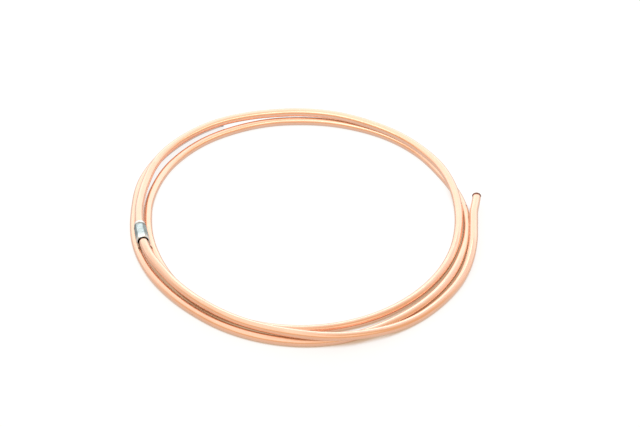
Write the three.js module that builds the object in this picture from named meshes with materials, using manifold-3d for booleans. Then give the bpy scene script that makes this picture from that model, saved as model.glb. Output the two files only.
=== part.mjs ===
// A hand-wound coil of soft copper tube, lying flat, with a zinc-plated steel sleeve nut on it.
// Millimetres, +Z up. The coil rests on z = 0 and the origin is under the middle of its outline.

import * as THREE from "three";
import { mergeVertices } from "three/addons/utils/BufferGeometryUtils.js";
import Module from "manifold-3d";

const wasm = await Module();
wasm.setup();

// ---- driving dimensions -------------------------------------------------------------------------

const tubeDiameter = 6.35; // quarter-inch soft copper tube
const tubeWall = 0.8;
const innerTurnRadius = 113.2; // centre line of the innermost turn
const turnGap = 0.3; // air between two turns that lie against each other

const nutClearance = 0.45; // from the tube to the bore of the nut, all round
const nutFlatWall = 0.5; // metal between the bore and a flat of the hexagon
const nutNeckWall = 0.42;
const nutHexLength = 15.6;
const nutNeckLength = 2.7;
const nutMouthDepth = 0.5; // countersink at both ends of the bore
const nutMouthFlare = 0.32; // how much wider the countersink is, on the radius
const nutChamferAngle = 30; // of the hexagon's corners, from the end face
const nutAngle = 908.5; // where along the winding it sits, in degrees

const tubeSides = 16;
const boreSides = 10;
const stepsPerTurn = 76;
const roundSides = 36; // facets of the nut's round surfaces

// ---- the lay of the winding ---------------------------------------------------------------------

// The tube is wound two and three quarter times round by hand, so its turns wander.
// Each station is [angle along the winding in degrees, column, level]. A column is one pitch
// outward from the innermost turn, and a level is one pitch up from the floor.
const lay = [
  [118, 2.28, 0], // the inner cut end, at the back left, under the top turn
  [130, 2.4, 0],
  [145, 2.36, 0],
  [158, 2.12, 0],
  [165, 1.85, 0],
  [171, 1.59, 0],
  [178, 1.44, 0],
  [190, 1.37, 0],
  [205, 1.21, 0],
  [220, 1.07, 0],
  [230, 1.1, 0],
  [240, 1.29, 0],
  [250, 1.49, 0],
  [260, 1.68, 0], // runs along the front, outside the inner turn
  [270, 1.85, 0],
  [280, 1.91, 0],
  [290, 1.73, 0],
  [300, 1.54, 0],
  [320, 1.3, 0],
  [330, 1.18, 0],
  [340, 1.05, 0],
  [350, 0.98, 0],
  [360, 0.81, 0],
  [370, 0.51, 0], // moves in at the right and becomes the inner turn
  [385, 0.06, 0],
  [400, 0.02, 0],
  [415, -0.03, 0],
  [430, -0.12, 0],
  [450, -0.06, 0], // back
  [460, 0.11, 0],
  [475, 0.32, 0],
  [490, 0.54, 0],
  [505, 0.56, 0],
  [520, 0.35, 0],
  [531, 0.15, 0],
  [537, -0.02, 0],
  [550, -0.21, 0],
  [560, -0.29, 0],
  [575, -0.24, 0],
  [590, -0.09, 0],
  [610, 0, 0],
  [680, 0, 0], // front
  [700, 0.02, 0.11],
  [710, 0, 0.38], // climbs on to the inner turn at the right
  [720, -0.02, 0.6],
  [730, 0, 0.9],
  [745, 0, 1.02],
  [755, -0.11, 1.02],
  [765, -0.15, 1.02],
  [780, -0.17, 1.02],
  [797, 0.12, 0.98],
  [810, 0.44, 0.9], // back, on top
  [820, 0.69, 0.86],
  [830, 1.08, 0.84],
  [840, 1.43, 0.9],
  [850, 1.65, 0.92], // crosses over the inner cut end
  [865, 1.74, 0.95],
  [873, 1.59, 0.9],
  [880, 1.31, 0.84],
  [889, 1.04, 0.92],
  [897, 0.9, 1.01],
  [903, 0.785, 1.03],
  [908.5, 0.7, 1.035], // through the nut
  [914, 0.665, 1.03],
  [920, 0.56, 0.98],
  [930, 0.28, 0.93],
  [940, 0.26, 0.92],
  [950, 0.36, 0.95],
  [960, 0.51, 0.87],
  [970, 0.72, 0.78],
  [980, 1.08, 0.82],
  [990, 1.77, 1.02], // crosses over the outer turn at the front
  [1000, 2.35, 0.94],
  [1010, 2.57, 0.65],
  [1020, 2.6, 0.2],
  [1030, 2.55, 0],
  [1040, 2.46, 0],
  [1050, 2.34, 0.05],
  [1058, 2.12, 0.3],
  [1066, 1.84, 0.6],
  [1074, 1.6, 0.72],
  [1080, 1.65, 0.7],
  [1088, 2.32, 0.58], // the free end springs out and up, at the right
];

const pitch = tubeDiameter + turnGap;

// Reads one column of the lay at an angle, as a smooth curve through its stations.
function layAt(angle, field) {
  let next = lay.findIndex((station) => station[0] >= angle);
  next = THREE.MathUtils.clamp(next < 0 ? lay.length - 1 : next, 1, lay.length - 1);
  const slope = (i) => {
    const before = lay[Math.max(i - 1, 0)];
    const after = lay[Math.min(i + 1, lay.length - 1)];
    const turnsBack = (after[field] - lay[i][field]) * (lay[i][field] - before[field]) <= 0;
    if (turnsBack && i > 0 && i < lay.length - 1) return 0; // so that it never dips under a station
    return (after[field] - before[field]) / (after[0] - before[0]);
  };
  const [from, to] = [lay[next - 1], lay[next]];
  const span = to[0] - from[0];
  const s = (angle - from[0]) / span;
  const rise = 3 * s * s - 2 * s * s * s;
  return (
    from[field] * (1 - rise) +
    to[field] * rise +
    span * slope(next - 1) * s * (1 - s) * (1 - s) -
    span * slope(next) * s * s * (1 - s)
  );
}

class Winding extends THREE.Curve {
  constructor() {
    super();
    this.arcLengthDivisions = 4000;
  }

  // The centre line of the tube at an angle along the winding.
  at(angle, target = new THREE.Vector3()) {
    const radius = innerTurnRadius + layAt(angle, 1) * pitch;
    const height = tubeDiameter / 2 + layAt(angle, 2) * pitch;
    const turned = THREE.MathUtils.degToRad(angle);
    return target.set(radius * Math.cos(turned), radius * Math.sin(turned), height);
  }

  getPoint(u, target) {
    const first = lay[0][0];
    const last = lay[lay.length - 1][0];
    return this.at(THREE.MathUtils.lerp(first, last, u), target);
  }
}

const winding = new Winding();
const turns = (lay[lay.length - 1][0] - lay[0][0]) / 360;

// ---- helpers ------------------------------------------------------------------------------------

const circle = (diameter, sides) =>
  Array.from({ length: sides }, (_, i) => {
    const turned = (2 * Math.PI * i) / sides;
    return new THREE.Vector2((diameter / 2) * Math.cos(turned), (diameter / 2) * Math.sin(turned));
  });

// A solid of revolution about Z from a closed outline of [radius, height] points.
function revolve(outline, sides) {
  const points = [...outline, outline[0]].map(([radius, height]) => new THREE.Vector2(radius, height));
  return new THREE.LatheGeometry(points, sides).rotateX(Math.PI / 2);
}

function toSolid(geometry) {
  const bare = geometry.clone();
  bare.deleteAttribute("normal");
  bare.deleteAttribute("uv");
  const merged = mergeVertices(bare, 1e-4);
  const mesh = new wasm.Mesh({
    numProp: 3,
    vertProperties: Float32Array.from(merged.attributes.position.array),
    triVerts: Uint32Array.from(merged.index.array),
  });
  return new wasm.Manifold(mesh);
}

function toGeometry(solid) {
  const mesh = solid.getMesh();
  const geometry = new THREE.BufferGeometry();
  geometry.setAttribute("position", new THREE.BufferAttribute(mesh.vertProperties, 3));
  geometry.setIndex(new THREE.BufferAttribute(mesh.triVerts, 1));
  geometry.computeVertexNormals();
  return geometry;
}

// ---- copper tube --------------------------------------------------------------------------------

function makeTube() {
  const section = new THREE.Shape(circle(tubeDiameter, tubeSides));
  section.holes.push(new THREE.Path(circle(tubeDiameter - 2 * tubeWall, boreSides).reverse()));
  const geometry = new THREE.ExtrudeGeometry(section, {
    extrudePath: winding,
    steps: Math.round(stepsPerTurn * turns),
    bevelEnabled: false,
  });
  const copper = new THREE.MeshStandardMaterial({ color: 0xe8a27c, roughness: 0.2, metalness: 1 });
  const mesh = new THREE.Mesh(geometry, copper);
  mesh.name = "copper_tube";
  return mesh;
}

// ---- steel sleeve nut ---------------------------------------------------------------------------

function makeNut() {
  const length = nutHexLength + nutNeckLength;
  const boreRadius = tubeDiameter / 2 + nutClearance;
  const neckRadius = boreRadius + nutNeckWall;
  const flatRadius = boreRadius + nutFlatWall;
  const cornerRadius = flatRadius / Math.cos(Math.PI / 6);
  const mouthRadius = boreRadius + nutMouthFlare;
  const chamfer = (cornerRadius - flatRadius) * Math.tan(THREE.MathUtils.degToRad(nutChamferAngle));

  const hexagon = toSolid(
    new THREE.ExtrudeGeometry(new THREE.Shape(circle(2 * cornerRadius, 6)), {
      depth: nutHexLength,
      bevelEnabled: false,
    }),
  );
  const corners = toSolid(
    revolve(
      [
        [0, 0],
        [flatRadius, 0],
        [cornerRadius, chamfer],
        [cornerRadius, nutHexLength - chamfer],
        [flatRadius, nutHexLength],
        [0, nutHexLength],
      ],
      roundSides,
    ),
  );
  const neck = toSolid(
    revolve(
      [
        [0, nutHexLength / 2],
        [neckRadius, nutHexLength / 2],
        [neckRadius, length],
        [0, length],
      ],
      roundSides,
    ),
  );
  const over = 1; // the bore's cutter runs past both ends
  const bore = toSolid(
    revolve(
      [
        [0, -over],
        [mouthRadius, -over],
        [mouthRadius, 0],
        [boreRadius, nutMouthDepth],
        [boreRadius, length - nutMouthDepth],
        [mouthRadius, length],
        [mouthRadius, length + over],
        [0, length + over],
      ],
      roundSides,
    ),
  );
  const solid = hexagon.intersect(corners).add(neck).subtract(bore);

  const steel = new THREE.MeshStandardMaterial({ color: 0xb9c8cc, roughness: 0.25, metalness: 1 });
  const mesh = new THREE.Mesh(toGeometry(solid).translate(0, 0, -length / 2), steel);
  mesh.name = "steel_sleeve_nut";
  seatOnTube(mesh, length);
  return mesh;
}

// Centres a piece on the chord that joins its two ends on the tube, with its neck up the winding.
function seatOnTube(mesh, length) {
  const radius = winding.at(nutAngle).length();
  const half = THREE.MathUtils.radToDeg(length / 2 / radius);
  const before = winding.at(nutAngle - half);
  const after = winding.at(nutAngle + half);
  const middle = winding.at(nutAngle);
  const chordMiddle = before.clone().add(after).multiplyScalar(0.5);
  mesh.position.copy(chordMiddle.add(middle).multiplyScalar(0.5));
  const along = before.clone().sub(after).normalize();
  mesh.quaternion.setFromUnitVectors(new THREE.Vector3(0, 0, 1), along);
}

// ---- the object ---------------------------------------------------------------------------------

const coil = new THREE.Group();
coil.add(makeTube(), makeNut());
coil.updateMatrixWorld(true);

const outline = new THREE.Box3().setFromObject(coil, true);
const middle = outline.getCenter(new THREE.Vector3());
coil.position.set(-middle.x, -middle.y, -outline.min.z);

const object = new THREE.Group();
object.add(coil);

export default object;
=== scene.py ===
"""A hand-wound coil of soft copper tube with a loose steel tube nut, on a pale studio floor.

Everything is in metres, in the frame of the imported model: the coil lies on z = 0 and the origin
is under the middle of its outline.
"""

import logging
import math
from dataclasses import dataclass
from enum import Enum
from itertools import accumulate

import bmesh
import bpy
from mathutils import Matrix, Vector

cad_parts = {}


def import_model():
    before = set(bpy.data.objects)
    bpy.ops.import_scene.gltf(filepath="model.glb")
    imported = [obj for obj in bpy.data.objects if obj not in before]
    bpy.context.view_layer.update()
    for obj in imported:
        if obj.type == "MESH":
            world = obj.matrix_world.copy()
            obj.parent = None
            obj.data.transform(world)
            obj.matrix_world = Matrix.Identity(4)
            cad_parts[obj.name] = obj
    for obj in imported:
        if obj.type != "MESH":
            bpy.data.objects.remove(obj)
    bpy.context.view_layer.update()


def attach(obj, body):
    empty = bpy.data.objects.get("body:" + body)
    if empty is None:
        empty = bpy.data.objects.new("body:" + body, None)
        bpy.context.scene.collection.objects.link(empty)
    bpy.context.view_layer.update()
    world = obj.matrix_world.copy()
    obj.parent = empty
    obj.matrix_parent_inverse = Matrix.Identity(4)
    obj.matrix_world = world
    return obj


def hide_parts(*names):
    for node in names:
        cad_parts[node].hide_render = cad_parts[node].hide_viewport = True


log = logging.getLogger("coil")
MM = 0.001
SKIN_UV = "along_and_around"
RECESS_SHADE = "recess_shade"
MIX_AMOUNT, MIX_FIRST, MIX_SECOND, MIX_RESULT = 0, 6, 7, 2  # the colour sockets of a Mix node
Station = tuple[float, float, float]
Colour = tuple[float, float, float, float]
Pair = tuple[float, float]
Socket = bpy.types.NodeSocket
Material = bpy.types.Material


class Slot(Enum):
    """Names of the two material slots."""

    COPPER = "copper"
    STEEL = "zinc_steel"


# ---- the lay of the winding ---------------------------------------------------------------------


@dataclass(frozen=True)
class Lay:
    """Where the tube runs: its turns wander in and out and climb over each other."""

    tube: float = 6.35  # outside diameter of the tube, mm
    inner_radius: float = 113.2  # centre line of the innermost turn, mm
    gap: float = 0.3  # air between two turns that lie against each other, mm
    # angle along the winding in degrees, column outward, level up, in pitches
    stations: tuple[Station, ...] = (
        (118, 2.28, 0),  # the inner cut end, at the back left, outside the top turn
        (130, 2.4, 0),
        (145, 2.36, 0),
        (158, 2.12, 0),
        (165, 1.85, 0),
        (171, 1.59, 0),
        (178, 1.44, 0),
        (190, 1.37, 0),
        (205, 1.21, 0),
        (220, 1.07, 0),
        (230, 1.1, 0),
        (240, 1.29, 0),
        (250, 1.49, 0),
        (260, 1.68, 0),  # runs along the front, outside the inner turn
        (270, 1.85, 0),
        (280, 1.91, 0),
        (290, 1.73, 0),
        (300, 1.54, 0),
        (320, 1.3, 0),
        (330, 1.18, 0),
        (340, 1.05, 0),
        (350, 0.98, 0),
        (360, 0.81, 0),
        (370, 0.51, 0),  # moves in at the right and becomes the inner turn
        (385, 0.06, 0),
        (400, 0.02, 0),
        (415, -0.03, 0),
        (430, -0.12, 0),
        (450, -0.06, 0),  # back
        (460, 0.11, 0),
        (475, 0.32, 0),
        (490, 0.54, 0),
        (505, 0.56, 0),
        (520, 0.35, 0),
        (531, 0.15, 0),
        (537, -0.02, 0),
        (550, -0.21, 0),
        (560, -0.29, 0),
        (575, -0.24, 0),
        (590, -0.09, 0),
        (610, 0, 0),
        (680, 0, 0),  # front
        (700, 0.02, 0.11),
        (710, 0, 0.38),  # climbs on to the inner turn at the right
        (720, -0.02, 0.6),
        (730, 0, 0.9),
        (745, 0, 1.02),
        (755, -0.11, 1.02),
        (765, -0.15, 1.02),
        (780, -0.17, 1.02),
        (797, 0.12, 0.98),
        (810, 0.44, 0.9),  # back, on top
        (820, 0.69, 0.86),
        (830, 1.08, 0.84),
        (840, 1.43, 0.9),
        (850, 1.65, 0.92),  # passes over the inner cut end, a little inside it
        (865, 1.74, 0.95),
        (873, 1.59, 0.9),
        (880, 1.31, 0.84),
        (889, 1.04, 0.92),
        (897, 0.9, 1.01),
        (903, 0.785, 1.03),
        (908.5, 0.7, 1.035),  # through the nut
        (914, 0.665, 1.03),
        (920, 0.56, 0.98),
        (930, 0.28, 0.93),
        (940, 0.26, 0.92),
        (950, 0.36, 0.95),
        (960, 0.51, 0.87),
        (970, 0.72, 0.78),
        (980, 1.08, 0.82),
        (990, 1.77, 1.02),  # crosses over the outer turn at the front
        (1000, 2.35, 0.94),
        (1010, 2.57, 0.65),
        (1020, 2.6, 0.2),
        (1030, 2.55, 0),
        (1040, 2.46, 0),
        (1050, 2.34, 0.05),
        (1058, 2.12, 0.3),
        (1066, 1.84, 0.6),
        (1074, 1.6, 0.72),
        (1080, 1.65, 0.7),
        (1088, 2.32, 0.58),  # the free end springs out and up, at the right
    )

    @property
    def pitch(self) -> float:
        """Distance between the centre lines of two neighbouring turns, mm."""
        return self.tube + self.gap

    @property
    def first(self) -> float:
        """Angle of the inner cut end, degrees."""
        return self.stations[0][0]

    @property
    def last(self) -> float:
        """Angle of the free end, degrees."""
        return self.stations[-1][0]

    def _slope(self, index: int, column: int) -> float:
        """Finds the slope of a column at a station. It is level where the column turns round."""
        s = self.stations
        before, here, after = s[max(index - 1, 0)], s[index], s[min(index + 1, len(s) - 1)]
        ahead, behind = after[column] - here[column], here[column] - before[column]
        if 0 < index < len(s) - 1 and ahead * behind <= 0:
            return 0.0
        return (after[column] - before[column]) / (after[0] - before[0])

    def read(self, angle: float, column: int) -> float:
        """Reads one column of the stations at an angle, as a smooth curve.

        Args:
            angle: angle along the winding, degrees.
            column: 1 for the column outward, 2 for the level.

        Returns:
            The value there, in pitches.
        """
        s = self.stations
        k = next((i for i, station in enumerate(s) if station[0] >= angle), len(s) - 1)
        k = max(k, 1)
        a, b = s[k - 1], s[k]
        span = b[0] - a[0]
        t = (angle - a[0]) / span
        rise = 3 * t * t - 2 * t**3
        return (
            a[column] * (1 - rise)
            + b[column] * rise
            + span * self._slope(k - 1, column) * t * (1 - t) ** 2
            - span * self._slope(k, column) * t * t * (1 - t)
        )

    def centre(self, angle: float) -> Vector:
        """Finds the centre of the tube at an angle, before the coil is moved over the origin.

        Args:
            angle: angle along the winding, degrees.

        Returns:
            The centre, mm.
        """
        radius = self.inner_radius + self.read(angle, 1) * self.pitch
        height = self.tube / 2 + self.read(angle, 2) * self.pitch
        turned = math.radians(angle)
        return Vector((radius * math.cos(turned), radius * math.sin(turned), height))

    def outline_middle(self) -> Vector:
        """Finds the middle of the coil's outline, seen from above.

        Returns:
            The middle, from the winding's own axis, mm.
        """
        step = 0.5
        count = int((self.last - self.first) / step) + 1
        spots = [self.centre(self.first + i * step) for i in range(count)]
        low = Vector((min(p.x for p in spots), min(p.y for p in spots), 0))
        high = Vector((max(p.x for p in spots), max(p.y for p in spots), 0))
        return (low + high) / 2


# ---- finishes -----------------------------------------------------------------------------------


@dataclass(frozen=True)
class Film:
    """A thin film over a metal."""

    colour: Colour
    strength: float  # how much it hides what lies under it, from 0 to 1


class Tree:
    """A shader node tree, with short calls for adding and joining nodes."""

    def __init__(self, tree: bpy.types.NodeTree) -> None:
        """Wraps the node tree of a material, a world or a group."""
        self.tree = tree

    def put(self, node: bpy.types.Node, name: str | int, value: object) -> None:
        """Sets an input of a node, or joins another node's output to it.

        Args:
            node: the node.
            name: the input's name or number.
            value: a value, or the output of another node.
        """
        if isinstance(value, Socket):
            self.tree.links.new(value, node.inputs[name])
        else:
            node.inputs[name].default_value = value

    def add(self, kind: str, inputs: dict[str | int, object], **settings: object) -> bpy.types.Node:
        """Adds a node.

        Args:
            kind: the node's type name.
            inputs: values or other nodes' outputs, by the name or number of the input.
            **settings: the node's own properties.

        Returns:
            The new node.
        """
        node = self.tree.nodes.new(kind)
        for name, value in settings.items():
            setattr(node, name, value)
        for name, value in inputs.items():
            self.put(node, name, value)
        return node

    def math(self, operation: str, *values: object) -> Socket:
        """Adds a math node.

        Args:
            operation: the name of the operation.
            *values: its inputs, in order.

        Returns:
            Its output.
        """
        node = self.add("ShaderNodeMath", dict(enumerate(values)), operation=operation)
        return node.outputs[0]

    def ramp(self, value: object, low: object, high: object, to: Pair = (0, 1)) -> Socket:
        """Maps a value smoothly from one range to another.

        Args:
            value: what is mapped.
            low: where the first value is reached.
            high: where the second value is reached.
            to: the two values.

        Returns:
            The mapped value.
        """
        inputs = {"Value": value, "From Min": low, "From Max": high}
        inputs |= {"To Min": to[0], "To Max": to[1]}
        node = self.add("ShaderNodeMapRange", inputs, interpolation_type="SMOOTHSTEP")
        return node.outputs[0]

    def blend(self, amount: object, first: object, second: object) -> Socket:
        """Mixes two colours.

        Args:
            amount: from 0, the first, to 1, the second.
            first: a colour.
            second: a colour.

        Returns:
            The mixed colour.
        """
        node = self.add("ShaderNodeMix", {}, data_type="RGBA")
        for index, value in ((MIX_AMOUNT, amount), (MIX_FIRST, first), (MIX_SECOND, second)):
            self.put(node, index, value)
        return node.outputs[MIX_RESULT]

    def noise(self, place: object, scale: object, detail: float) -> Socket:
        """Adds a noise, as a value from 0 to 1.

        Args:
            place: where it is read.
            scale: how fine it is.
            detail: how many finer layers it has.

        Returns:
            The noise.
        """
        inputs = {"Vector": place, "Scale": scale, "Detail": detail}
        return self.add("ShaderNodeTexNoise", inputs).outputs["Fac"]

    def cover(self, colour: object, mask: object, film: Film) -> Socket:
        """Lays a film over a colour where a mask says.

        Args:
            colour: what lies under it.
            mask: where the film is, from 0 to 1.
            film: its colour and strength.

        Returns:
            The colour with the film on it.
        """
        return self.blend(self.math("MULTIPLY", mask, film.strength), colour, film.colour)

    def raise_by(self, value: object, mask: object, amount: float) -> Socket:
        """Adds an amount to a value where a mask says.

        Args:
            value: what it is added to.
            mask: where it is added, from 0 to 1.
            amount: how much is added where the mask is 1.

        Returns:
            The raised value.
        """
        return self.math("ADD", value, self.math("MULTIPLY", mask, amount))

    def skin(self) -> tuple[Socket, Socket]:
        """Reads how far along a piece a point is, m, and how far round, as a share of a turn."""
        uv = self.add("ShaderNodeUVMap", {}, uv_map=SKIN_UV).outputs[0]
        split = self.add("ShaderNodeSeparateXYZ", {0: uv}).outputs
        return split[0], split[1]

    def place(self) -> Socket:
        """Reads where in the object a point is, m."""
        return self.add("ShaderNodeTexCoord", {}).outputs["Object"]

    def metal(
        self, colour: object, rough: object, height: object, relief: Pair, coat: Pair = (0, 0)
    ) -> None:
        """Ends the material as a metal with a fine relief.

        Args:
            colour: the metal's colour.
            rough: its roughness.
            height: where the relief is high and low, from 0 to 1.
            relief: its depth, m, and how much of it shows.
            coat: how much of a coat is on it, and the coat's roughness.
        """
        inputs = {"Distance": relief[0], "Strength": relief[1], "Height": height}
        bump = self.add("ShaderNodeBump", inputs).outputs[0]
        inputs = {"Base Color": colour, "Metallic": 1.0, "Roughness": rough, "Normal": bump}
        inputs |= {"Coat Weight": coat[0], "Coat Roughness": coat[1]}
        shader = self.add("ShaderNodeBsdfPrincipled", inputs)
        self.add("ShaderNodeOutputMaterial", {"Surface": shader.outputs[0]})


class EffectGroup:
    """A node group with named inputs and outputs, built once and used by the finishes."""

    def __init__(self, name: str, inputs: dict[str, str], outputs: tuple[str, ...]) -> None:
        """Makes the group with its sockets.

        Args:
            name: the group's name.
            inputs: each input and its kind, Float or Vector.
            outputs: the values that it puts out.
        """
        self.group = bpy.data.node_groups.new(name, "ShaderNodeTree")
        ports = self.group.interface
        for label, kind in inputs.items():
            ports.new_socket(label, in_out="INPUT", socket_type=f"NodeSocket{kind}")
        for label in outputs:
            ports.new_socket(label, in_out="OUTPUT", socket_type="NodeSocketFloat")
        self.tree = Tree(self.group)
        self.given = self.tree.add("NodeGroupInput", {}).outputs
        self.result = self.tree.add("NodeGroupOutput", {})

    def place(self, tree: Tree, *values: object) -> bpy.types.bpy_prop_collection:
        """Places the group in a material.

        Args:
            tree: the material's tree.
            *values: what its inputs are given, in order.

        Returns:
            The group's outputs.
        """
        inputs = dict(enumerate(values))
        return tree.add("ShaderNodeGroup", inputs, node_tree=self.group).outputs


class Effects:
    """The effects that the metals share."""

    def __init__(self) -> None:
        """Builds the groups."""
        self.draw_lines = self._draw_lines()
        self.handling = self._handling()
        self.scratches = self._scratches()

    @staticmethod
    def _draw_lines() -> EffectGroup:
        """Builds broad and fine lines that run along a drawn or turned surface."""
        coarse = 0.3  # how close the broad lines lie, against the fine ones
        longer = (0.3, 1.0, 1.0)  # stretches the broad lines lengthways
        group = EffectGroup(
            "draw_lines",
            {"Along": "Float", "Around": "Float", "Length": "Float", "Lines": "Float"},
            ("Broad", "Fine"),
        )
        tree, given = group.tree, group.given
        turn = tree.math("MULTIPLY", given["Around"], 2 * math.pi)
        reach = tree.math("DIVIDE", given["Along"], given["Length"])
        spread = {"X": reach, "Y": tree.math("COSINE", turn), "Z": tree.math("SINE", turn)}
        place = tree.add("ShaderNodeCombineXYZ", spread).outputs[0]
        few = tree.math("MULTIPLY", given["Lines"], coarse)
        drawn = tree.add("ShaderNodeVectorMath", {0: place, 1: longer}, operation="MULTIPLY")
        broad = tree.noise(drawn.outputs[0], few, 2.0)
        fine = tree.noise(place, given["Lines"], 4.0)
        tree.put(group.result, "Broad", tree.ramp(broad, 0.32, 0.68))
        tree.put(group.result, "Fine", tree.ramp(fine, 0.3, 0.72))
        return group

    @staticmethod
    def _handling() -> EffectGroup:
        """Builds the mask of smudges and dull patches from handling and storage."""
        finer, large_share, small_share, soft_edge = 7.0, 0.75, 0.25, 0.12
        group = EffectGroup(
            "handling_marks", {"Place": "Vector", "Scale": "Float", "Cover": "Float"}, ("Mask",)
        )
        tree, given = group.tree, group.given
        large = tree.noise(given["Place"], given["Scale"], 5.0)
        small = tree.noise(given["Place"], tree.math("MULTIPLY", given["Scale"], finer), 3.0)
        large_part = tree.math("MULTIPLY", large, large_share)
        mixed = tree.raise_by(large_part, small, small_share)
        edge = tree.math("SUBTRACT", 1.0, given["Cover"])
        low = tree.math("SUBTRACT", edge, soft_edge)
        high = tree.math("ADD", edge, soft_edge)
        tree.put(group.result, "Mask", tree.ramp(mixed, low, high))
        return group

    @staticmethod
    def _scratches() -> EffectGroup:
        """Builds the mask of thin short scratches, in two sets that cross."""
        tilt, skew, width, patch_scale, patch_detail = 0.4, 1.7, 0.045, 95.0, 2.0
        group = EffectGroup("fine_scratches", {"Place": "Vector", "Scale": "Float"}, ("Mask",))
        tree, given = group.tree, group.given
        total: Socket | None = None
        for turned, stretch in ((0.5, 0.09), (1.9, 0.07)):
            spin = tree.add(
                "ShaderNodeMapping",
                {
                    "Vector": given["Place"],
                    "Rotation": (tilt, turned, turned * skew),
                    "Scale": (1.0, stretch, 1.0),
                },
            )
            cells = tree.add(
                "ShaderNodeTexVoronoi",
                {"Vector": spin.outputs[0], "Scale": given["Scale"]},
                feature="DISTANCE_TO_EDGE",
            )
            line = tree.ramp(cells.outputs[0], 0.0, width, (1, 0))
            patches = tree.noise(given["Place"], patch_scale * turned, patch_detail)
            kept = tree.math("MULTIPLY", line, tree.ramp(patches, 0.5, 0.62))
            total = kept if total is None else tree.math("MAXIMUM", total, kept)
        tree.put(group.result, "Mask", total)
        return group


def new_material(name: str) -> tuple[Material, Tree]:
    """Starts an empty material.

    Args:
        name: the material's name.

    Returns:
        The material and its tree.
    """
    material = bpy.data.materials.new(name)
    material.use_nodes = True
    material.node_tree.nodes.clear()
    return material, Tree(material.node_tree)


@dataclass(frozen=True)
class CopperFinish:
    """Bright soft-drawn copper, a little tarnished and handled."""

    clean: Colour = (0.97, 0.63, 0.48, 1)  # the bright metal
    ruddy: Film = Film((0.94, 0.57, 0.41, 1), 0.7)  # film along the darker draw lines
    tarnish: Film = Film((0.84, 0.5, 0.35, 1), 0.4)  # film of the dull patches
    scratch: Film = Film((1.0, 0.8, 0.66, 1), 0.25)  # film of the fresh metal in the scratches
    oxide: Film = Film((0.84, 0.62, 0.47, 1), 0.8)  # film that gathers where turns touch
    lines: Pair = (0.1, 7.0)  # length of the draw lines, m, and how fine they are round the tube
    # how fine the dull patches are, and how much of the skin they take up
    marks: Pair = (34.0, 0.46)
    scratch_scale: float = 240.0  # how fine the scratches are
    # the fine lines' level where tarnish is held back and where it isn't
    line_range: Pair = (0.2, 0.9)
    held_back: float = 0.45  # how much of the tarnish is left where it is held back
    touch_reach: float = 0.004  # how near another turn is where they touch, m
    # how open the skin is where the oxide starts and where it is full
    touch_range: Pair = (0.72, 0.4)
    roughness: float = 0.11  # of the bright metal
    dull: float = 0.16  # how much rougher the tarnished patches are
    oxide_dull: float = 0.25  # how much rougher the oxide is
    line_dull: float = 0.07  # how much rougher the draw lines are
    scratch_relief: float = 0.8  # depth of the scratches, as a share of the draw lines' height
    relief: Pair = (0.00002, 0.35)  # height of the draw lines, m, and how much of it shows
    oil: Pair = (0.8, 0.12)  # how much drawing oil is left on the skin, and its roughness

    def make(self, effects: Effects) -> Material:
        """Builds the material with the shared effects."""
        material, tree = new_material("soft_copper")
        skin, place = tree.skin(), tree.place()
        lines = effects.draw_lines.place(tree, *skin, *self.lines)
        marks = effects.handling.place(tree, place, *self.marks)["Mask"]
        rubs = effects.scratches.place(tree, place, self.scratch_scale)["Mask"]
        in_lines = tree.ramp(lines["Fine"], *self.line_range, (self.held_back, 1))
        worn = tree.math("MULTIPLY", marks, in_lines)
        colour = tree.cover(self.clean, lines["Broad"], self.ruddy)
        colour = tree.cover(colour, worn, self.tarnish)
        colour = tree.cover(colour, rubs, self.scratch)
        shelter = tree.add("ShaderNodeAmbientOcclusion", {"Distance": self.touch_reach}, samples=8)
        touch = tree.ramp(shelter.outputs["AO"], *self.touch_range)
        colour = tree.cover(colour, touch, self.oxide)
        rough = tree.raise_by(self.roughness, worn, self.dull)
        rough = tree.raise_by(rough, touch, self.oxide_dull)
        rough = tree.raise_by(rough, lines["Fine"], self.line_dull)
        dips = tree.math("MULTIPLY", rubs, self.scratch_relief)
        height = tree.math("SUBTRACT", lines["Fine"], dips)
        tree.metal(colour, rough, height, self.relief, self.oil)
        return material


@dataclass(frozen=True)
class CutCopperFinish:
    """Sawn copper at the ends of the tube, darkened with painted shade that has darker patches in
    it.
    """

    clean: Colour = (0.3, 0.13, 0.08, 1)  # the cut metal, darkened as painted shade
    dark: Film = Film((0.09, 0.04, 0.03, 1), 0.7)  # film of darker painted shade, in patches
    # how fine the darker patches are, and how much of the cut they take up
    marks: Pair = (900.0, 0.5)
    roughness: Pair = (0.22, 0.5)  # of the cut metal and of its darker patches
    relief: Pair = (0.00004, 0.5)  # height of the saw's marks, m, and how much of it shows

    def make(self, effects: Effects) -> Material:
        """Builds the material with the shared effects."""
        material, tree = new_material("cut_copper_painted_shade")
        marks = effects.handling.place(tree, tree.place(), *self.marks)["Mask"]
        colour = tree.cover(self.clean, marks, self.dark)
        rough = tree.ramp(marks, 0.0, 1.0, self.roughness)
        tree.metal(colour, rough, marks, self.relief)
        return material


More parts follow.
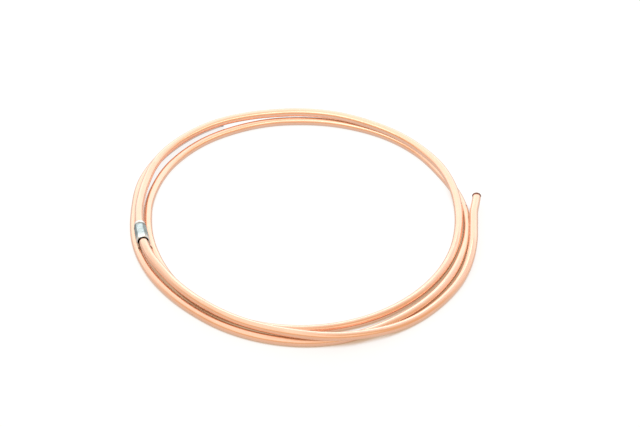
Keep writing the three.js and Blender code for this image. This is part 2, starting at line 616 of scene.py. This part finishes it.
@dataclass(frozen=True)
class ZincFinish:
    """Bright blue-white zinc plating on turned steel."""

    clean: Colour = (0.58, 0.69, 0.72, 1)  # the plating
    shade: Film = Film((0.25, 0.33, 0.35, 1), 0.6)  # film of its darker cloudy patches
    scratch: Film = Film((0.9, 0.93, 0.93, 1), 0.4)  # film of the scratches
    flat_shade_colour: Colour = (0.12, 0.2, 0.23, 1)  # colour of the painted shade that darkens two flats on one side of the nut
    # painted highlight: a near-white film over the neck and the mouth's end
    end_highlight: Film = Film((0.93, 0.94, 0.95, 1), 0.85)
    # colour of the near-black painted shade in the thread, the bore, the groove and the countersink
    recess_shade: Colour = (0.035, 0.03, 0.028, 1)
    # length of the turning lines, m, and how fine they are round the nut
    lines: Pair = (0.0006, 1.6)
    # how fine the cloudy patches are, and how much of the nut they take up
    marks: Pair = (420.0, 0.48)
    scratch_scale: float = 900.0  # how fine the scratches are
    patchy: float = 0.72  # how much of the painted shade on the flats and the painted highlight at the ends is left between the patches
    # the middle of each flat with painted shade, as a share of a turn, and how strong that shade is
    shaded_flats: tuple[Pair, ...] = ((0.583, 0.92), (0.917, 0.55))
    # cosine of the angle from that middle where the painted shade starts and is full
    flat_edge: Pair = (0.78, 0.93)
    # where the painted highlight starts and is full, at the mouth's end and at the neck, m
    highlight_ends: tuple[Pair, ...] = ((0.0056, 0.0012), (0.0159, 0.0162))
    roughness: Pair = (0.18, 0.32)  # of the plating and of its cloudy patches
    recess_shade_dull: float = 0.4  # how much rougher the painted shade in the recesses is
    relief: Pair = (0.00001, 0.3)  # height of the turning lines, m, and how much of it shows

    def make(self, effects: Effects) -> Material:
        """Builds the material with the shared effects."""
        material, tree = new_material("zinc_plated_steel")
        place, skin = tree.place(), tree.skin()
        along, around = skin
        lines = effects.draw_lines.place(tree, *skin, *self.lines)
        marks = effects.handling.place(tree, place, *self.marks)["Mask"]
        rubs = effects.scratches.place(tree, place, self.scratch_scale)["Mask"]
        # painted shade: near-black in the recesses, read from the mesh
        recess_shading = tree.add("ShaderNodeAttribute", {}, attribute_name=RECESS_SHADE).outputs["Fac"]
        colour = tree.cover(self.clean, marks, self.shade)
        colour = tree.cover(colour, rubs, self.scratch)
        patchy = tree.ramp(marks, 0.0, 1.0, (self.patchy, 1))
        # painted shade: two flats on one side are darkened, broken up by the patches
        for middle, strength in self.shaded_flats:
            off = tree.math("MULTIPLY", tree.math("SUBTRACT", around, middle), 2 * math.pi)
            flat_shading = tree.ramp(tree.math("COSINE", off), *self.flat_edge, (0, strength))
            colour = tree.blend(tree.math("MULTIPLY", flat_shading, patchy), colour, self.flat_shade_colour)
        # painted highlight at the neck and the mouth's end, broken up by the patches
        for start, full in self.highlight_ends:
            end_highlighting = tree.ramp(along, start, full, (0, self.end_highlight.strength))
            end_highlighting = tree.math("MULTIPLY", end_highlighting, patchy)
            colour = tree.blend(end_highlighting, colour, self.end_highlight.colour)
        colour = tree.blend(recess_shading, colour, self.recess_shade)
        rough = tree.ramp(marks, 0.0, 1.0, self.roughness)
        rough = tree.raise_by(rough, recess_shading, self.recess_shade_dull)
        height = tree.math("SUBTRACT", lines["Fine"], rubs)
        tree.metal(colour, rough, height, self.relief)
        return material


# ---- pieces -------------------------------------------------------------------------------------


def build_object(
    name: str, mesh: bmesh.types.BMesh, materials: list[Material]
) -> bpy.types.Object:
    """Makes an object of a bmesh, in its place, with smooth faces.

    Args:
        name: the object's name.
        mesh: its geometry, in metres; freed here.
        materials: its finishes.

    Returns:
        The new object.
    """
    data = bpy.data.meshes.new(name)
    mesh.to_mesh(data)
    mesh.free()
    for material in materials:
        data.materials.append(material)
    for face in data.polygons:
        face.use_smooth = True
    made = bpy.data.objects.new(name, data)
    bpy.context.collection.objects.link(made)
    return made


@dataclass(frozen=True)
class RingRow:
    """One ring of points round a round or six-sided piece, and how its skin is finished."""

    points: tuple[Vector, ...]  # the ring's points, mm
    along: float  # how far along the piece it is, mm
    finish: int = 0  # number of its finish
    recess_shade: float = 0.0  # how much painted shade it has there, from 0 to 1


def skin_rows(rows: list[RingRow]) -> bmesh.types.BMesh:
    """Joins rings of points into one closed skin, the last back to the first.

    Args:
        rows: the rings, in order over the outside and back through the bore.

    Returns:
        The mesh, in metres, with its lengths along and around as UVs.
    """
    bm = bmesh.new()
    uv = bm.loops.layers.uv.new(SKIN_UV)
    # how much painted shade each point has
    recess_shading = bm.verts.layers.float.new(RECESS_SHADE)
    sides = len(rows[0].points)
    made = []
    for row in rows:
        ring = [bm.verts.new(point * MM) for point in row.points]
        for vert in ring:
            vert[recess_shading] = row.recess_shade
        made.append(ring)
    for i, row in enumerate(rows):
        j = (i + 1) % len(rows)
        ahead = rows[j]
        for k in range(sides):
            n = (k + 1) % sides
            face = bm.faces.new((made[i][k], made[i][n], made[j][n], made[j][k]))
            face.material_index = max(row.finish, ahead.finish)
            spots = ((row.along, k), (row.along, k + 1), (ahead.along, k + 1), (ahead.along, k))
            for loop, (along, around) in zip(face.loops, spots):
                loop[uv].uv = (along * MM, around / sides)
    bmesh.ops.recalc_face_normals(bm, faces=bm.faces)
    return bm


@dataclass(frozen=True)
class CutEnd:
    """A cut end of the tube."""

    angle: float  # where along the winding it is, degrees
    inward: int  # 1 at the start of the tube and -1 at its far end
    length: float  # how far along the tube it is, mm


@dataclass
class CopperTube:
    """The wound tube, with its bore and its two cut ends."""

    lay: Lay  # where the tube runs
    shift: Vector  # from the winding's own axis to the origin of the model, mm
    wall: float = 0.8  # thickness of the tube's wall, mm
    sides: int = 32  # points round the section
    steps: int = 900  # rings along the tube
    oval: float = 0.012  # how much the bend flattens the tube, as a share of its radius
    saw_lip: float = 0.24  # how far the saw pushed the end's edge out, mm
    lip_reach: float = 0.7  # how far along the tube the lip goes, mm
    end_shade_reach: float = 1.8  # how far along the tube the painted shade of a cut end goes over the skin, mm
    # the other rings near a cut end, from the cut, mm
    end_marks: tuple[float, ...] = (0.0, 0.12, 0.3, 0.5, 1.4)
    burr: float = 0.18  # how far the cut edge stands into the bore, mm
    burr_root: float = 0.35  # how far outside the bore the burr starts on the cut face, mm
    burr_edge: float = 0.05  # how far into the tube the burr's edge is, mm
    burr_reach: float = 0.5  # how far into the tube the burr goes, mm
    wear: float = 0.012  # how much handling has worn off the radius on average, mm
    wear_waves: Pair = (61.0, 23.0)  # the two lengths over which the wear comes and goes, mm
    wear_phase: float = 1.3  # where the shorter one starts, radians

    def _frame(self, angle: float) -> tuple[Vector, Vector, Vector, Vector]:
        """Finds the tube's centre and axes at an angle.

        Args:
            angle: angle along the winding, degrees.

        Returns:
            The centre, the direction along, the side away from the axis and the upper side.
        """
        lay, step = self.lay, 0.2
        low, high = max(angle - step, lay.first), min(angle + step, lay.last)
        along = (lay.centre(high) - lay.centre(low)).normalized()
        side = along.cross(Vector((0, 0, 1))).normalized()
        return lay.centre(angle) - self.shift, along, side, side.cross(along)

    def _ring(self, angle: float, radius: float, nudge: float = 0.0) -> tuple[Vector, ...]:
        """Makes one ring of the tube.

        Args:
            angle: angle along the winding, degrees.
            radius: of the ring, mm.
            nudge: how far it is moved along the tube, mm.

        Returns:
            The ring's points, mm.
        """
        centre, along, side, up = self._frame(angle)
        squeeze = 1 - self.oval
        ring = []
        for k in range(self.sides):
            turned = 2 * math.pi * k / self.sides
            offset = side * math.cos(turned) * squeeze + up * math.sin(turned)
            ring.append(centre + offset * radius + along * nudge)
        return tuple(ring)

    def _worn_off(self, along: float) -> float:
        """Finds how much handling has worn off the radius at a place along the tube, mm."""
        long, short = self.wear_waves
        wave = math.sin(along / long) * math.sin(along / short + self.wear_phase)
        return self.wear + self.wear * wave

    def build(self, copper: Material, cut: Material) -> bpy.types.Object:
        """Builds the tube.

        Args:
            copper: the finish of the drawn skin.
            cut: the finish of the two cut ends, which paints shade on them.

        Returns:
            The tube's object.
        """
        near, far = self.lay.first, self.lay.last
        outer = self.lay.tube / 2
        bore = outer - self.wall
        angles = [near + (far - near) * i / self.steps for i in range(self.steps + 1)]
        centres = [self.lay.centre(angle) for angle in angles]
        parts = [(after - before).length for before, after in zip(centres, centres[1:])]
        lengths = list(accumulate(parts, initial=0.0))
        length = lengths[-1]
        marks = sorted((*self.end_marks, self.lip_reach, self.end_shade_reach))
        start, end = CutEnd(near, 1, 0.0), CutEnd(far, -1, length)
        rows = [self._end_ring(start, mark) for mark in marks]
        for angle, along in zip(angles[1:-1], lengths[1:-1]):
            rows.append(RingRow(self._ring(angle, outer - self._worn_off(along)), along))
        rows += [self._end_ring(end, mark) for mark in reversed(marks)]
        rows += self._burr_rings(end, bore)
        inner_steps = self.steps // 3
        for i in range(1, inner_steps):
            angle = far + (near - far) * i / inner_steps
            rows.append(RingRow(self._ring(angle, bore), length * (1 - i / inner_steps)))
        rows += reversed(self._burr_rings(start, bore))
        log.info("copper tube: %.3f m long, %.2f turns", length * MM, (far - near) / 360)
        return build_object("drawn_copper_tube", skin_rows(rows), [copper, cut])

    def _burr_rings(self, end: CutEnd, bore: float) -> list[RingRow]:
        """Makes the rings of the bore's edge, where the cut left a burr, from the cut inward."""
        burr = (
            (bore + self.burr_root, 0.0, 0.0),
            (bore - self.burr, self.burr_edge, 0.0),
            (bore, self.burr_reach, self.burr_reach),
        )
        rings = []
        for radius, nudge, reach in burr:
            ring = self._ring(end.angle, radius, nudge * end.inward)
            rings.append(RingRow(ring, end.length + reach * end.inward, 1))
        return rings

    def _end_ring(self, end: CutEnd, mark: float) -> RingRow:
        """Makes one ring of the edge that the saw pushed out, at a distance from the cut, mm."""
        lip = self.saw_lip * max(1 - mark / self.lip_reach, 0) ** 2
        radius = self.lay.tube / 2 + lip - self._worn_off(end.length)
        ring = self._ring(end.angle, radius, mark * end.inward)
        # flat where it meets the floor
        points = tuple(Vector((p.x, p.y, max(p.z, 0.0))) for p in ring)
        # the rings nearest a cut take the cut's finish, a band of painted shade on the skin
        return RingRow(points, end.length + mark * end.inward, int(mark < self.end_shade_reach))


@dataclass
class TubeNut:
    """The plated tube nut that sits loose on the tube."""

    lay: Lay  # where the tube runs
    shift: Vector  # from the winding's own axis to the origin of the model, mm
    angle: float = 908.5  # where along the winding it sits, degrees
    hex_length: float = 15.6  # length of the six-sided body, mm
    neck_length: float = 2.7  # length of its round neck, mm
    clearance: float = 0.45  # from the tube to the bore, mm
    flat_wall: float = 0.5  # metal between the bore and a flat, mm
    neck_wall: float = 0.42  # metal round the bore of the neck, mm
    corner_round: float = 0.12  # how much the corners are worn down, mm
    chamfer_drop: float = 0.12  # how far under a flat the chamfer starts at the body's ends, mm
    chamfer_angle: float = 58.0  # of the chamfer, from the nut's axis, degrees
    # where the rings are near both ends of the body, from the end, mm
    edge_rings: tuple[float, ...] = (0.0, 0.12, 0.24, 0.36, 0.5, 0.64, 0.8)
    groove_depth: float = 0.2  # depth of the groove under the neck, mm
    mouth_depth: float = 0.9  # depth of the countersink, mm
    mouth_flare: float = 0.4  # how much wider the countersink is, on the radius, mm
    thread_pitch: float = 0.9  # of the thread in the open end, mm
    thread_depth: float = 0.22  # of the thread, mm
    thread_fade: float = 0.5  # length over which the thread comes in and out, mm
    thread_out: float = 2.2  # from the body's upper end to where the thread has gone, mm
    thread_last: float = 2.4  # from the body's upper end to the thread's last ring, mm
    rings_per_pitch: int = 6  # rings in one turn of the thread
    mouth_recess_shade: float = 0.18  # how much painted shade the open end's edge has, from 0 to 1
    groove_recess_shade: float = 0.7  # how much painted shade the body has next to the groove, from 0 to 1
    recess_shade_reach: float = 1.4  # how far down the body that painted shade goes, mm
    sides: int = 144  # points round the nut

    @property
    def bore(self) -> float:
        """Radius of the bore, mm."""
        return self.lay.tube / 2 + self.clearance

    @property
    def flat(self) -> float:
        """Distance from the axis to a flat, mm."""
        return self.bore + self.flat_wall

    @property
    def length(self) -> float:
        """Length of the whole nut, mm."""
        return self.hex_length + self.neck_length

    def _hexagon(self, turned: float) -> float:
        """Finds the radius of the six-sided body, mm, at an angle from a corner, radians."""
        sixth = math.pi / 3
        off = (turned % sixth) - sixth / 2
        corner = self.flat / math.cos(sixth / 2)
        return min(self.flat / math.cos(off), corner - self.corner_round)

    def _body(self, turned: float, height: float) -> float:
        """Finds the radius of the nut's outside, mm, at an angle, radians, and a height, mm."""
        slope = math.tan(math.radians(self.chamfer_angle))
        lower = self.flat - self.chamfer_drop + height * slope
        upper = self.flat - self.chamfer_drop + (self.hex_length - height) * slope
        return min(self._hexagon(turned), lower, upper)

    def _thread(self, turned: float, height: float) -> float:
        """Finds the radius of the bore in its thread, at an angle, radians, and a height, mm."""
        to_mouth = height - self.mouth_depth
        to_end = self.hex_length - self.thread_out - height
        fade = max(min(1.0, to_mouth / self.thread_fade, to_end / self.thread_fade), 0.0)
        phase = (height / self.thread_pitch - turned / (2 * math.pi)) % 1.0
        return self.bore + self.thread_depth * fade * (1 - abs(2 * phase - 1))

    def _round_rings(self) -> tuple[tuple[float, float, float], ...]:
        """Lists height, radius and painted shade of the round rings, over the neck and into the
        bore.
        """
        top, body = self.length, self.hex_length
        neck = self.bore + self.neck_wall
        groove = neck - self.groove_depth
        return (
            (body + 0.02, groove, 0.9),  # the groove under the neck, in painted shade
            (body + 0.4, groove, 0.8),
            (body + 0.5, neck, 0.05),  # the neck, which is worn round at its end
            (top - 0.45, neck, 0.0),
            (top - 0.15, neck - 0.07, 0.0),
            (top, neck - 0.22, 0.1),
            (top - 0.02, self.bore + 0.12, 0.5),  # the edge of the bore
            (top - 0.3, self.bore, 1.0),
            (body - 1.5, self.bore, 1.0),
        )

    def build(self, zinc: Material) -> bpy.types.Object:
        """Builds the nut on the tube.

        Args:
            zinc: its finish.

        Returns:
            The nut's object.
        """
        body = self.hex_length
        around = [2 * math.pi * k / self.sides for k in range(self.sides)]
        seat = self._seat()

        def ring(height: float, radii: list[float], recess_shade: float) -> RingRow:
            rise = height - self.length / 2
            points = []
            for turned, radius in zip(around, radii):
                local = Vector((radius * math.cos(turned), radius * math.sin(turned), rise))
                points.append(seat @ local)
            return RingRow(tuple(points), height, recess_shade=recess_shade)

        rows: list[RingRow] = []
        middle = [body * i / 12 for i in range(2, 11)]
        upper = [body - edge for edge in reversed(self.edge_rings)]
        for height in (*self.edge_rings, *middle, *upper):
            radii = [self._body(turned, height) for turned in around]
            # painted shade on the body just under the neck, fading downwards
            recess_shade = self.groove_recess_shade * max((height - body) / self.recess_shade_reach + 1, 0)
            rows.append(ring(height, radii, self.mouth_recess_shade if height == 0.0 else recess_shade))
        for height, radius, recess_shade in self._round_rings():
            rows.append(ring(height, [radius] * self.sides, recess_shade))
        turns = int((body - self.thread_out) / self.thread_pitch * self.rings_per_pitch)
        reach = body - self.thread_last - self.mouth_depth
        # the thread lies in full painted shade
        for i in range(turns, -1, -1):
            height = self.mouth_depth + reach * i / turns
            rows.append(ring(height, [self._thread(turned, height) for turned in around], 1.0))
        mouth = self.bore + self.mouth_flare
        for height, inset, recess_shade in ((0.35, 0.1, 0.85), (0.0, 0.0, 0.3)):  # the countersink, in painted shade
            rows.append(ring(height, [mouth - inset] * self.sides, recess_shade))
        log.info("tube nut: %.1f mm long, %.1f mm across flats", self.length, 2 * self.flat)
        return build_object("plated_tube_nut", skin_rows(rows), [zinc])

    def _seat(self) -> Matrix:
        """Finds the nut's place, with its neck towards the tube's start.

        It lies along the chord between its two ends on the tube. It is centred halfway between
        that chord and the tube's centre line.

        Returns:
            The matrix from the nut's own axes to the model, mm.
        """
        lay = self.lay
        radius = lay.centre(self.angle).length
        half = math.degrees(self.length / 2 / radius)
        before, after = lay.centre(self.angle - half), lay.centre(self.angle + half)
        middle = ((before + after) / 2 + lay.centre(self.angle)) / 2 - self.shift
        along = (before - after).normalized()
        turn = Vector((0, 0, 1)).rotation_difference(along)
        return Matrix.Translation(middle) @ turn.to_matrix().to_4x4()


# ---- studio -------------------------------------------------------------------------------------


@dataclass(frozen=True)
class Zone:
    """A part of the surroundings with a colour of its own."""

    colour: Colour  # of the zone, where 1 is plain white
    # each axis that bounds it, and where along that axis it starts and is full
    fades: tuple[tuple[str, float, float], ...]
    strength: float = 1.0  # how much it hides the rest


@dataclass(frozen=True)
class Panel:
    """A soft lamp that hangs low over the ring, out of the camera's sight."""

    name: str
    size: Pair  # its width and depth, m
    middle: float  # how far behind the origin its middle is, m
    glow: float  # its brightness, where the world's plain level is 1


@dataclass
class Studio:
    """The floor, the soft light and the camera."""

    centre: Vector  # the middle of the ring, which the camera is turned towards, mm
    elevation: float = 41.97  # of the camera over the floor, degrees
    distance: float = 1700.0  # from the camera to the middle of the ring, mm
    focal_px: float = 2339.13  # focal length, in pixels of the frame
    aim_px: Pair = (302.9, 220.03)  # where in the frame the middle of the ring is
    roll: float = 1.2  # turn of the camera about its own axis, degrees
    frame_px: tuple[int, int] = (640, 427)  # size of the frame
    sensor: float = 36.0  # width of the camera's sensor, mm
    clip: Pair = (0.05, 50.0)  # from where to where the camera sees, m
    floor_size: float = 6.0  # half the width of the floor, m
    # the share of the floor's white that no shadow takes away
    floor_glow: Colour = (0.84, 0.84, 0.84, 1)
    floor_matt: Colour = (0.21, 0.21, 0.21, 1)  # the share of it that keeps the object's shadow
    # painted light and shade: in the narrow gaps between turns the floor glows dim and
    # copper-coloured, for the light the copper throws there
    gap_glow: Colour = (0.48, 0.3, 0.18, 1)
    gap_reach: float = 0.012  # how far a gap's sides are looked for, m
    # how open the floor is where the gap's light is full and where it has gone
    gap_open: Pair = (0.2, 0.5)
    gap_depth: Pair = (0.0, 0.05)  # how far back it starts to fade and has gone, m
    # colour at the front of the table that the camera never sees
    table_near: Colour = (0.62, 0.46, 0.3, 1)
    table_far: Colour = (0.4, 0.36, 0.31, 1)  # its colour at the back
    table_fade: Pair = (-0.16, 0.14)  # how far back the one ends and the other is full, m
    table_glow: float = 0.5  # how much of the table shines by itself
    mirror_share: float = 0.5  # how much of the white floor the metal shows, over that table
    front: Colour = (0.85, 0.62, 0.39, 1)  # colour of the surroundings by the camera
    # the parts of the surroundings with other colours, each laid over the last
    zones: tuple[Zone, ...] = (
        Zone((1.1, 1.1, 1.1, 1), (("Y", -0.3, 0.6),)),  # the back
        Zone((1.36, 1.36, 1.36, 1), (("Y", 0.76, 0.94),)),  # low at the back
        Zone((1.1, 0.95, 0.76, 1), (("Y", -0.35, -0.6), ("Z", 0.35, 0.55))),  # over the camera
        Zone((1.25, 1.17, 1.07, 1), (("X", 0.2, -0.35), ("Z", 0.45, 0.75)), 0.85),  # high left
    )
    panel_height: float = 0.12  # of the soft lamps over the floor, m
    panels: tuple[Panel, ...] = (
        Panel("wide_panel", (1.2, 0.85), 0.485, 0.26),
        Panel("back_strip", (0.22, 0.13), 0.08, 1.1),
    )

    def place_camera(self) -> None:
        """Places the camera."""
        data = bpy.data.cameras.new("camera")
        camera = bpy.data.objects.new("camera", data)
        bpy.context.collection.objects.link(camera)
        rise = math.radians(self.elevation)
        back = Vector((0, -math.cos(rise), math.sin(rise)))
        right = Vector((1, 0, 0))
        up = back.cross(right)
        turn = Matrix.Rotation(math.radians(-self.roll), 4, "Z")
        basis = Matrix((right, up, back)).transposed().to_4x4()
        eye = Matrix.Translation((self.centre + back * self.distance) * MM)
        camera.matrix_world = eye @ basis @ turn
        width, height = self.frame_px
        data.sensor_width = self.sensor
        data.lens = self.focal_px / width * data.sensor_width
        data.shift_x = (width / 2 - self.aim_px[0]) / width
        data.shift_y = (self.aim_px[1] - height / 2) / width
        data.clip_start, data.clip_end = self.clip
        bpy.context.scene.camera = camera

    def lay_floor(self) -> None:
        """Lays the plain white floor, which keeps the object's shadow."""
        bm = bmesh.new()
        bmesh.ops.create_grid(bm, x_segments=2, y_segments=2, size=self.floor_size)
        material, tree = new_material("white_floor")
        spot = tree.add("ShaderNodeNewGeometry", {}).outputs["Position"]
        depth = tree.add("ShaderNodeSeparateXYZ", {0: spot}).outputs["Y"]
        warmth = tree.blend(tree.ramp(depth, *self.table_fade), self.table_near, self.table_far)
        matt = tree.add("ShaderNodeBsdfDiffuse", {"Color": warmth}).outputs[0]
        glow = tree.add("ShaderNodeEmission", {"Color": warmth, "Strength": 1.0}).outputs[0]
        table = tree.add("ShaderNodeMixShader", {0: self.table_glow, 1: matt, 2: glow})
        # painted light and shade in the narrow gaps between turns, found by ambient occlusion
        shelter = tree.add("ShaderNodeAmbientOcclusion", {"Distance": self.gap_reach}, samples=16)
        open_floor = tree.ramp(shelter.outputs["AO"], *self.gap_open)
        clear = tree.math("MAXIMUM", open_floor, tree.ramp(depth, *self.gap_depth))
        white = tree.blend(clear, self.gap_glow, self.floor_glow)
        paper = tree.add("ShaderNodeBsdfDiffuse", {"Color": self.floor_matt}).outputs[0]
        bright = tree.add("ShaderNodeEmission", {"Color": white, "Strength": 1.0}).outputs[0]
        sheet = tree.add("ShaderNodeAddShader", {0: paper, 1: bright})
        path = tree.add("ShaderNodeLightPath", {}).outputs
        mirrored = tree.math("MAXIMUM", path["Is Glossy Ray"], path["Is Transmission Ray"])
        mirrored = tree.math("MULTIPLY", mirrored, self.mirror_share)
        seen = tree.math("MAXIMUM", path["Is Camera Ray"], mirrored)
        mixed = tree.add("ShaderNodeMixShader", {0: seen, 1: table.outputs[0], 2: sheet.outputs[0]})
        tree.add("ShaderNodeOutputMaterial", {"Surface": mixed.outputs[0]})
        floor = build_object("floor", bm, [material])

    def light(self) -> None:
        """Sets the surroundings and hangs the soft panels."""
        world = bpy.data.worlds.new("studio")
        bpy.context.scene.world = world
        world.use_nodes = True
        world.node_tree.nodes.clear()
        tree = Tree(world.node_tree)
        way = tree.add("ShaderNodeTexCoord", {}).outputs["Generated"]
        split = tree.add("ShaderNodeSeparateXYZ", {0: way}).outputs
        colour: object = self.front
        for zone in self.zones:
            amount, *others = (tree.ramp(split[axis], *ends) for axis, *ends in zone.fades)
            for other in (*others, zone.strength):
                amount = tree.math("MULTIPLY", amount, other)
            colour = tree.blend(amount, colour, zone.colour)
        ground = tree.add("ShaderNodeBackground", {"Color": colour, "Strength": 1.0})
        tree.add("ShaderNodeOutputWorld", {"Surface": ground.outputs[0]})
        for panel in self.panels:
            self.hang_panel(panel)

    def hang_panel(self, panel: Panel) -> None:
        """Hangs a soft lamp."""
        width, depth = panel.size
        data = bpy.data.lights.new(panel.name, "AREA")
        data.shape = "RECTANGLE"
        data.size, data.size_y = width, depth
        data.energy = panel.glow * math.pi * width * depth
        lamp = bpy.data.objects.new(panel.name, data)
        lamp.location = (0, panel.middle, self.panel_height)
        lamp.visible_camera = False
        bpy.context.collection.objects.link(lamp)


def main() -> None:
    """Builds the scene in order."""
    logging.basicConfig(level=logging.INFO, format="%(message)s")
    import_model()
    bpy.context.scene.view_settings.view_transform = "Standard"
    lay = Lay()
    shift = lay.outline_middle()
    log.info("winding's axis is %.3f, %.3f mm from the origin", -shift.x, -shift.y)

    effects = Effects()
    copper, cut = CopperFinish().make(effects), CutCopperFinish().make(effects)
    tube = CopperTube(lay, shift).build(copper, cut)
    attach(tube, "root")
    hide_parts("copper_tube")

    nut = TubeNut(lay, shift).build(ZincFinish().make(effects))
    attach(nut, "root")
    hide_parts("steel_sleeve_nut")

    studio = Studio(Vector((0, 0, lay.tube / 2)) - shift)
    studio.place_camera()
    studio.lay_floor()
    studio.light()


if __name__ == "__main__":
    main()
